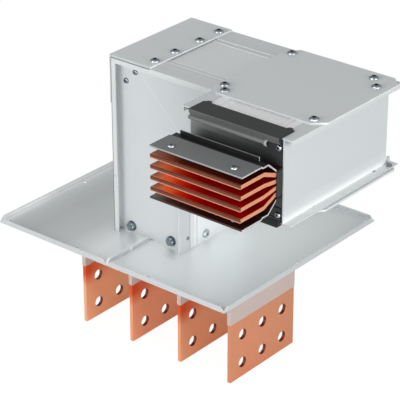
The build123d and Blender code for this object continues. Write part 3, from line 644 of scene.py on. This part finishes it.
def dress(node, finish):
    """A CAD node keeps its own mesh and takes a finish."""
    nodes[node].data.materials.clear()
    nodes[node].data.materials.append(finish)


for number in (1, 2, 3):
    dress(f"insulating_layer_{number}", red_film)
for place in ("inner", "outer"):
    dress(f"pack_sheath_{place}", black_film)

# Supports inside the housing: moulded spacers between pack and covers, clamp rails of aluminium at
# the riser's foot, and the corner bracket that the cap's screws go into.
moulding = paint_finish("black_moulding", (0.03, 0.03, 0.03), 0.6, 0.3, 0.05)
mill_finish = metal_finish("mill_aluminium", (0.70, 0.71, 0.72), 0.36)
for stretch in ("run", "branch"):
    for place in ("top", "bottom"):
        dress(f"{stretch}_spacer_{place}", moulding)
for node in ("clamp_rail_inner", "clamp_rail_outer", "corner_bracket"):
    dress(node, mill_finish)

# Contact shrouds: folded grey sheets over and under the blades, each with a rib and two rivets.
# The groove before the rib is black, and the inner faces carry painted shade with a painted red
# reflection.
shroud_edge = 0.3 * mm
shroud_low, shroud_high = box_in_mm("contact_shroud_top")
inner_half_height = 38.6
upper_half = (0.0, 50.0)
groove_y = (-211.2, -196.6)
bend_y = -179.5
shroud_back_y = -100.0
front_stretch = (shroud_low.y - 2.0, bend_y)
back_stretch = (bend_y, shroud_back_y)
black = (0.012, 0.012, 0.012)
shroud_paint = paint_finish("shroud_grey", (0.20, 0.21, 0.21), 0.45, 0.2, 0.03)
place_x, place_y, place_z = axes(shroud_paint, "Object")
facing_x, facing_y, facing_z = axes(shroud_paint, "Normal")
level = computed("SUBTRACT", place_z, branch_middle_z * mm)
height = computed("ABSOLUTE", level)
groove = all_of(
    between(place_x, shroud_low.x + 0.5, shroud_high.x - 0.5),
    between(place_y, *groove_y),
    between(height, 0.0, shroud_high.z - branch_middle_z - 0.4),
)
tint(shroud_paint, groove, black)
# Painted shade and a painted red reflection on the shrouds' inner faces.
inside = all_of(
    between(place_y, shroud_low.y + 0.5, shroud_back_y),
    between(height, 0.0, inner_half_height),
)
inner_painted_shade_and_reflection = shade_along(
    place_x,
    (shroud_low.x, (0.20, 0.19, 0.19)),
    (shroud_low.x + 28.0, (0.07, 0.028, 0.02)),
    (shroud_low.x + 83.0, (0.04, 0.01, 0.007)),
    (shroud_high.x, (0.03, 0.006, 0.005)),
    unit=mm,
)
tint(shroud_paint, inside, inner_painted_shade_and_reflection)
# Painted light on the edges: the front edges dark with painted shade, the top shroud's lighter; the side
# edges lit in front and black with painted shade behind.
front_edge = all_of(facing(facing_y, -1.1, -0.8), between(place_y, shroud_low.y - 1.0, shroud_low.y + 1.0))
tint(shroud_paint, front_edge, (0.05, 0.02, 0.015))
tint(shroud_paint, all_of(front_edge, between(level, *upper_half)), (0.27, 0.28, 0.28))
side_edge = facing(facing_x, 0.8, 1.1)
tint(shroud_paint, all_of(side_edge, between(place_y, *front_stretch)), (0.46, 0.47, 0.47))
tint(shroud_paint, all_of(side_edge, between(place_y, *back_stretch)), black)
feed(shroud_paint.node_tree.nodes["Principled BSDF"].inputs["Specular IOR Level"], 0.25)
for place in ("top", "bottom"):
    shroud = f"contact_shroud_{place}"
    eased_piece(shroud, shroud_edge, shroud_paint, f"shroud_sheet_{place}")

# End of the branch: dark anodised profiles with a bead frame the opening, and plates close it round
# the pack. Painted light makes the fronts lighter than the flat tops, and darker from left to right.
frame_edge = 0.5 * mm
plate_edge = 0.3 * mm
front_y = (-175.5, -168.5)
top_frame_z = (200.0, 300.0)
low_end_z = (150.0, 171.0)
lip_y = (-175.5, -172.2)
lip_z = (295.2, 299.0)
bead_y = (-172.2, -167.5)
bead_level = 53.7
bead_half_height = 3.5
dark_finish = paint_finish("dark_anodised", (0.017, 0.021, 0.021), 0.42, 0.15, 0.04)
feed(dark_finish.node_tree.nodes["Principled BSDF"].inputs["Specular IOR Level"], 0.25)
place_x, place_y, place_z = axes(dark_finish, "Object")
facing_x, facing_y, facing_z = axes(dark_finish, "Normal")
# Painted light on the fronts: lighter at the left, darker to the right.
front_painted_light = shade_along(
    place_x,
    (blade_left_x, (0.22, 0.23, 0.23)),
    (blade_left_x + 51.0, (0.11, 0.115, 0.115)),
    (blade_left_x + 141.0, (0.03, 0.032, 0.032)),
    unit=mm,
)
looks_forward = facing(facing_y, -1.1, -0.25)
tint(dark_finish, looks_forward, front_painted_light)
# Painted light sets the tones of the slope, the lip and the bead; painted shade darkens the lower end's
# fronts.
slope = all_of(between(place_y, *front_y), between(place_z, *top_frame_z), facing(facing_y, -0.93, -0.25))
tint(dark_finish, slope, (0.105, 0.112, 0.110))
tint(dark_finish, all_of(between(place_y, *lip_y), between(place_z, *lip_z)), (0.13, 0.138, 0.136))
tint(dark_finish, all_of(looks_forward, between(place_z, *low_end_z)), (0.012, 0.014, 0.014))
off_middle = computed("ABSOLUTE", computed("SUBTRACT", place_z, branch_middle_z * mm))
bead_height = between(off_middle, bead_level - bead_half_height, bead_level + bead_half_height)
tint(dark_finish, all_of(bead_height, between(place_y, *bead_y)), (0.17, 0.178, 0.176))
closure_finish = paint_finish("grey_closure", (0.10, 0.105, 0.105), 0.42, 0.15, 0.04)
place_x, place_y, place_z = axes(closure_finish, "Object")
# Painted light on the closing plates: lighter at the left, darker to the right.
closure_painted_light = shade_along(
    place_x,
    (shroud_low.x, (0.21, 0.22, 0.22)),
    (shroud_low.x + 33.0, (0.085, 0.09, 0.09)),
    (shroud_low.x + 153.0, (0.035, 0.038, 0.038)),
    unit=mm,
)
tint(closure_finish, 1, closure_painted_light)
for place in ("top", "bottom"):
    eased_piece(f"end_frame_{place}", frame_edge, dark_finish, f"end_profile_{place}")
    eased_piece(f"end_plate_{place}", plate_edge, closure_finish, f"end_closure_{place}")

# Fasteners: bright zinc screws with domed heads and six-lobed sockets, hexagon bolts with washers,
# and domed rivets. One tree of nodes seats each kind at its places, and each head is given painted light
# from a painted highlight on the lower rim to a painted dark crescent above and painted shade in the
# socket.


def loose_boxes(node):
    """Lowest and highest corner of each separate solid in a CAD node."""
    shell = bmesh.new()
    shell.from_mesh(nodes[node].data)
    bmesh.ops.remove_doubles(shell, verts=shell.verts, dist=0.002 * mm)
    shell.verts.ensure_lookup_table()
    unseen = set(range(len(shell.verts)))
    boxes = []
    while unseen:
        waiting = [unseen.pop()]
        group = list(waiting)
        while waiting:
            for edge in shell.verts[waiting.pop()].link_edges:
                for vert in edge.verts:
                    if vert.index in unseen:
                        unseen.remove(vert.index)
                        waiting.append(vert.index)
                        group.append(vert.index)
        points = [shell.verts[index].co for index in group]
        low = Vector([min(point[axis] for point in points) for axis in range(3)])
        high = Vector([max(point[axis] for point in points) for axis in range(3)])
        boxes.append((low, high))
    shell.free()
    return boxes


def ring_stack(name, rings, sides=36):
    """Closed turned body: each ring is an outline function of the angle, and a height, in millimetres."""
    shell = bmesh.new()
    rows = []
    for outline, height in rings:
        row = []
        for step in range(sides):
            angle = 2 * math.pi * step / sides
            reach = outline(angle) * mm
            row.append(shell.verts.new((reach * math.cos(angle), reach * math.sin(angle), height * mm)))
        rows.append(row)
    for lower, upper in zip(rows, rows[1:]):
        for step in range(sides):
            after = (step + 1) % sides
            shell.faces.new((lower[step], lower[after], upper[after], upper[step]))
    shell.faces.new(list(reversed(rows[0])))
    shell.faces.new(rows[-1])
    bmesh.ops.recalc_face_normals(shell, faces=shell.faces)
    for face in shell.faces:
        face.smooth = True
    for edge in shell.edges:
        if edge.calc_face_angle(0) > math.radians(32):
            edge.smooth = False
    mesh = bpy.data.meshes.new(name)
    shell.to_mesh(mesh)
    shell.free()
    pattern = bpy.data.objects.new(name, mesh)
    bpy.context.collection.objects.link(pattern)
    return pattern


def circle(radius):
    """Outline of a round ring."""
    return lambda angle: radius


def hexagon(inner):
    """Outline of a hexagon, by its inner radius."""
    return lambda angle: inner / math.cos((angle + math.pi / 6) % (math.pi / 3) - math.pi / 6)


def star(outer, inner):
    """Outline of a six-lobed socket."""
    return lambda angle: inner + (outer - inner) * (0.5 + 0.5 * math.cos(6 * angle))


seat_tree = bpy.data.node_groups.new("seat_fasteners", "GeometryNodeTree")
for name, direction, kind in (
    ("Seats", "INPUT", "NodeSocketGeometry"),
    ("Fastener", "INPUT", "NodeSocketObject"),
    ("Finish", "INPUT", "NodeSocketMaterial"),
    ("Turn Seed", "INPUT", "NodeSocketInt"),
    ("Geometry", "OUTPUT", "NodeSocketGeometry"),
):
    seat_tree.interface.new_socket(name, in_out=direction, socket_type=kind)
seat_in = seat_tree.nodes.new("NodeGroupInput")
seat_out = seat_tree.nodes.new("NodeGroupOutput")
outward_field = seat_tree.nodes.new("GeometryNodeInputNamedAttribute")
outward_field.data_type = "FLOAT_VECTOR"
outward_field.inputs["Name"].default_value = "outward"
align = seat_tree.nodes.new("FunctionNodeAlignRotationToVector")
align.axis = "Z"
full_turn = 6.2832
spin_angle = seat_tree.nodes.new("FunctionNodeRandomValue")
spin_angle.data_type = "FLOAT"
spin_angle.inputs[3].default_value = full_turn
spin = seat_tree.nodes.new("FunctionNodeAxisAngleToRotation")
turned = seat_tree.nodes.new("FunctionNodeRotateRotation")
turned.rotation_space = "LOCAL"
fastener = seat_tree.nodes.new("GeometryNodeObjectInfo")
placed = seat_tree.nodes.new("GeometryNodeInstanceOnPoints")
real = seat_tree.nodes.new("GeometryNodeRealizeInstances")
coloured = seat_tree.nodes.new("GeometryNodeSetMaterial")
for source, target in (
    (seat_in.outputs["Seats"], placed.inputs["Points"]),
    (seat_in.outputs["Fastener"], fastener.inputs["Object"]),
    (fastener.outputs["Geometry"], placed.inputs["Instance"]),
    (outward_field.outputs["Attribute"], align.inputs["Vector"]),
    (seat_in.outputs["Turn Seed"], spin_angle.inputs["Seed"]),
    (spin_angle.outputs[1], spin.inputs["Angle"]),
    (align.outputs["Rotation"], turned.inputs["Rotation"]),
    (spin.outputs["Rotation"], turned.inputs["Rotate By"]),
    (turned.outputs["Rotation"], placed.inputs["Rotation"]),
    (placed.outputs["Instances"], real.inputs["Geometry"]),
    (real.outputs["Geometry"], coloured.inputs["Geometry"]),
    (seat_in.outputs["Finish"], coloured.inputs["Material"]),
    (coloured.outputs["Geometry"], seat_out.inputs["Geometry"]),
):
    seat_tree.links.new(source, target)

pack_middle = Vector((0.0, 0.0, branch_middle_z * mm))
# Painted light on the heads, as shares of the radius and tones: dark socket, bright lower rim, dark
# crescent above.
socket_reach = 0.45
dome_reach = 0.75
socket_tone = 0.25
lower_tone = 0.75
upper_tone = 0.5
upper_start = 0.1
crescent_rate = 2.2


def seats_of(node, head_height, directions):
    """Place under the head of each of a CAD node's fasteners, and the way it points."""
    seats = []
    for low, high in loose_boxes(node):
        middle = (low + high) / 2
        outward = max(directions, key=lambda way: way.dot(middle - pack_middle))
        reach = Vector([abs(part) for part in outward]).dot(high - low) / 2
        seats.append((middle + outward * (reach - head_height * mm), outward))
    return seats


def head_tone(spread, rise):
    """Painted light on a head, by the distance from its axis and the rise, as shares of its radius."""
    if spread < socket_reach:
        return socket_tone
    if spread < dome_reach:
        return lower_tone if rise < upper_start else upper_tone
    return min(1, max(0, lower_tone - rise * crescent_rate))


def shade_heads(mesh, seats, head_radius):
    """Write the painted light of its place on the head to each vertex."""
    tones = []
    for vertex in mesh.vertices:
        seat, outward = min(seats, key=lambda pair: (vertex.co - pair[0]).length)
        offset = vertex.co - seat
        off_axis = offset - outward * offset.dot(outward)
        tones.append(head_tone(off_axis.length / head_radius, offset.dot(up) / head_radius))
    mesh.attributes.new("shade", "FLOAT", "POINT").data.foreach_set("value", tones)


def seat_fasteners(node, pattern, head_height, directions, finish, seed):
    """Seat one fastener at each solid of a CAD node, which the piece then stands for."""
    seats = seats_of(node, head_height, directions)
    mesh = bpy.data.meshes.new(f"{node}_seats")
    mesh.from_pydata([seat for seat, outward in seats], [], [])
    field = mesh.attributes.new("outward", "FLOAT_VECTOR", "POINT")
    field.data.foreach_set("vector", [part for seat, outward in seats for part in outward])
    holder = bpy.data.objects.new(f"{node}_seats", mesh)
    bpy.context.collection.objects.link(holder)
    modifier = holder.modifiers.new("seat_fasteners", "NODES")
    modifier.node_group = seat_tree
    sockets = seat_tree.interface.items_tree
    keys = {socket.name: socket.identifier for socket in sockets if socket.in_out == "INPUT"}
    modifier[keys["Fastener"]] = pattern
    modifier[keys["Finish"]] = finish
    modifier[keys["Turn Seed"]] = seed
    bpy.context.view_layer.update()
    seen = holder.evaluated_get(bpy.context.evaluated_depsgraph_get())
    result = bpy.data.meshes.new_from_object(seen)
    bpy.data.objects.remove(holder)
    head_radius = max(vertex.co.xy.length for vertex in pattern.data.vertices)
    shade_heads(result, seats, head_radius)
    piece = bpy.data.objects.new(f"{node}_seated", result)
    bpy.context.collection.objects.link(piece)
    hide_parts(node)
    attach(piece, "root")


zinc = metal_finish("bright_zinc", (0.62, 0.66, 0.70), 0.22, 0.7)
# Painted light: the zinc takes each head's written tone, from the dark crescent to the bright rim.
tone_field = zinc.node_tree.nodes.new("ShaderNodeAttribute")
tone_field.attribute_name = "shade"
head_painted_light = shade_along(
    tone_field.outputs["Fac"],
    (0.0, (0.012, 0.014, 0.016)),
    (0.3, (0.08, 0.09, 0.10)),
    (0.6, (0.36, 0.41, 0.45)),
    (1.0, (0.62, 0.66, 0.70)),
)
tint(zinc, 1, head_painted_light)
pale_zinc = metal_finish("pale_zinc", (0.50, 0.56, 0.60), 0.4, 0.5)
dark_zinc = metal_finish("dark_zinc", (0.27, 0.31, 0.34), 0.24)


def domed_screw(name, head, height, shank, length):
    """Pan head with a socket, on its shank."""
    return ring_stack(
        name,
        [
            (circle(shank), -length),
            (circle(shank), 0),
            (circle(head), 0),
            (circle(head), height * 0.25),
            (circle(head * 0.97), height * 0.45),
            (circle(head * 0.88), height * 0.7),
            (circle(head * 0.72), height * 0.9),
            (circle(head * 0.56), height),
            (star(head * 0.44, head * 0.34), height),
            (star(head * 0.42, head * 0.32), height * 0.35),
            (circle(head * 0.1), height * 0.25),
        ],
    )


above = Vector((0, 0, 1))
below = Vector((0, 0, -1))
front = Vector((0, -1, 0))
back = Vector((0, 1, 0))
right_side = Vector((1, 0, 0))
large_height = 4.5
small_height = 2.6
pin_height = 1.5
rivet_height = 3.5
bolt_height = 5.5
large_screw = domed_screw("large_screw", 7.2, large_height, 4.0, 5.0)
small_screw = domed_screw("small_screw", 4.6, small_height, 2.5, 2.0)
pin_screw = domed_screw("pin_screw", 3.0, pin_height, 2.0, 4.0)
rivet = ring_stack(
    "domed_rivet",
    [
        (circle(3.0), -2.5),
        (circle(3.0), 0),
        (circle(5.5), 0),
        (circle(5.4), 1.0),
        (circle(4.9), 2.0),
        (circle(3.9), 2.9),
        (circle(2.3), 3.35),
        (circle(0.6), rivet_height),
    ],
)
hex_bolt = ring_stack(
    "hexagon_bolt",
    [
        (circle(4.0), -22.0),
        (circle(4.0), 0),
        (hexagon(6.3), 0),
        (hexagon(6.5), 0.4),
        (hexagon(6.5), 4.8),
        (circle(6.2), bolt_height),
        (circle(4.8), bolt_height),
        (circle(4.5), 5.2),
    ],
)
seat_fasteners("corner_cap_screws", large_screw, large_height, [above], zinc, 1)
seat_fasteners("corner_plate_top_screws", large_screw, large_height, [above], zinc, 2)
seat_fasteners("corner_plate_bottom_screws", large_screw, large_height, [below], zinc, 3)
seat_fasteners("riser_cover_screws", large_screw, large_height, [right_side], pale_zinc, 4)
seat_fasteners("corner_bracket_screws", small_screw, small_height, [front, back], dark_zinc, 5)
seat_fasteners("end_frame_screws", small_screw, small_height, [front], zinc, 7)
seat_fasteners("rail_side_screws", pin_screw, pin_height, [right_side], dark_zinc, 6)
seat_fasteners("flange_seam_screws", pin_screw, pin_height, [right_side], flange_paint, 8)
seat_fasteners("shroud_rivets", rivet, rivet_height, [above, below], zinc, 9)
seat_fasteners("clamp_bolts", hex_bolt, bolt_height, [front, back], dark_zinc, 10)
for node in ("clamp_washers", "flange_rail_screws"):
    dress(node, dark_zinc)
for pattern in (large_screw, small_screw, pin_screw, rivet, hex_bolt):
    bpy.data.objects.remove(pattern)

# Pack edges: beside the blades' roots a strip of black film closes the pack at each side, between
# the two shrouds.


def added_piece(name, shape, finish):
    """Small piece of the scene alone. Its shape is corners in millimetres, and faces."""
    corners, faces = shape
    mesh = bpy.data.meshes.new(name)
    mesh.from_pydata([Vector(corner) * mm for corner in corners], [], faces)
    mesh.materials.append(finish)
    piece = bpy.data.objects.new(name, mesh)
    bpy.context.collection.objects.link(piece)
    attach(piece, "root")


def block(low, high):
    """Corners and faces of a box."""
    corners = [(x, y, z) for x in (low[0], high[0]) for y in (low[1], high[1]) for z in (low[2], high[2])]
    faces = [(0, 1, 3, 2), (4, 6, 7, 5), (0, 4, 5, 1), (2, 3, 7, 6), (0, 2, 6, 4), (1, 5, 7, 3)]
    return corners, faces


strip_inside = 80.3
strip_outside = 81.8
strip_front_y = -177.0
strip_back_y = -160.0
strip_half_height = 19.5
for side, sign in (("left", -1), ("right", 1)):
    near_x, far_x = sorted(branch_middle_x + sign * reach for reach in (strip_inside, strip_outside))
    strip = block(
        (near_x, strip_front_y, branch_middle_z - strip_half_height),
        (far_x, strip_back_y, branch_middle_z + strip_half_height),
    )
    added_piece(f"pack_edge_strip_{side}", strip, black_film)

# Ends of fasteners and folds: at the bottom plate's far corner the tip of a screw and the end of a
# fold show past the wall, and the tails of two rivets show inside the lower shroud, the left one black as
# painted shade.


def disc(middle, radius, thickness):
    """Corners and faces of a flat disc that lies level on its middle."""
    x, y, z = middle
    corners = []
    for step in range(16):
        angle = math.pi * step / 8
        for height in (z, z + thickness):
            corners.append((x + radius * math.cos(angle), y + radius * math.sin(angle), height))
    faces = [tuple(range(30, -1, -2)), tuple(range(1, 32, 2))]
    for step in range(0, 32, 2):
        after = (step + 2) % 32
        faces.append((step, after, after + 1, step + 1))
    return corners, faces


added_piece("far_screw_tip", disc((321.2, 81.0, 165.2), 4.2, 3.2), dark_zinc)
fold_end = block((312.0, 87.0, 165.5), (314.5, 92.5, 175.0))
added_piece("far_fold_end", fold_end, wall_paint)
tail_y = -239.5
tail_level = 190.3
# The left tail is black film as painted shade.
for side, tail_x, finish in (("left", 173.5, black_film), ("right", 284.5, pale_zinc)):
    tail = disc((tail_x, tail_y, tail_level), 3.6, 1.0)
    added_piece(f"rivet_tail_{side}", tail, finish)

# Return pips: two small pips of the wall's own sheet stand on the riser's left return, one above
# the other.
pip_left_x = -63.5
pip_right_x = -59.0
pip_height = 1.0
pip_half_width = 1.0
for name, level in (("upper", 98.0), ("lower", 81.0)):
    pip = block(
        (pip_left_x, return_y - pip_height, level - pip_half_width),
        (pip_right_x, return_y, level + pip_half_width),
    )
    added_piece(f"return_pip_{name}", pip, wall_paint)

# Screw channels: at the end of each bead the extruded profile shows an open channel, a C in the
# plane across the branch, with a bare cut face.
channel_x = (284.0, 287.5)
channel_y = -168.7
channel_level = 53.6
channel_radii = (4.0, 5.2)
channel_steps = 12
first_angle = -60
step_angle = 25
cut_finish = paint_finish("cut_profile", (0.34, 0.35, 0.35), 0.4, 0.1, 0.02)
for place, sign in (("top", 1), ("bottom", -1)):
    middle_z = branch_middle_z + sign * channel_level
    corners = []
    for step in range(channel_steps + 1):
        angle = math.radians(first_angle + step_angle * step)
        for radius in channel_radii:
            for x in channel_x:
                y = channel_y + radius * math.cos(angle)
                z = middle_z + radius * math.sin(angle)
                corners.append((x, y, z))
    last = 4 * channel_steps
    faces = [(0, 1, 3, 2), (last, last + 2, last + 3, last + 1)]
    for first in range(0, last, 4):
        faces.append((first, first + 4, first + 5, first + 1))
        faces.append((first + 2, first + 3, first + 7, first + 6))
        faces.append((first, first + 2, first + 6, first + 4))
        faces.append((first + 1, first + 5, first + 7, first + 3))
    added_piece(f"screw_channel_{place}", (corners, faces), cut_finish)
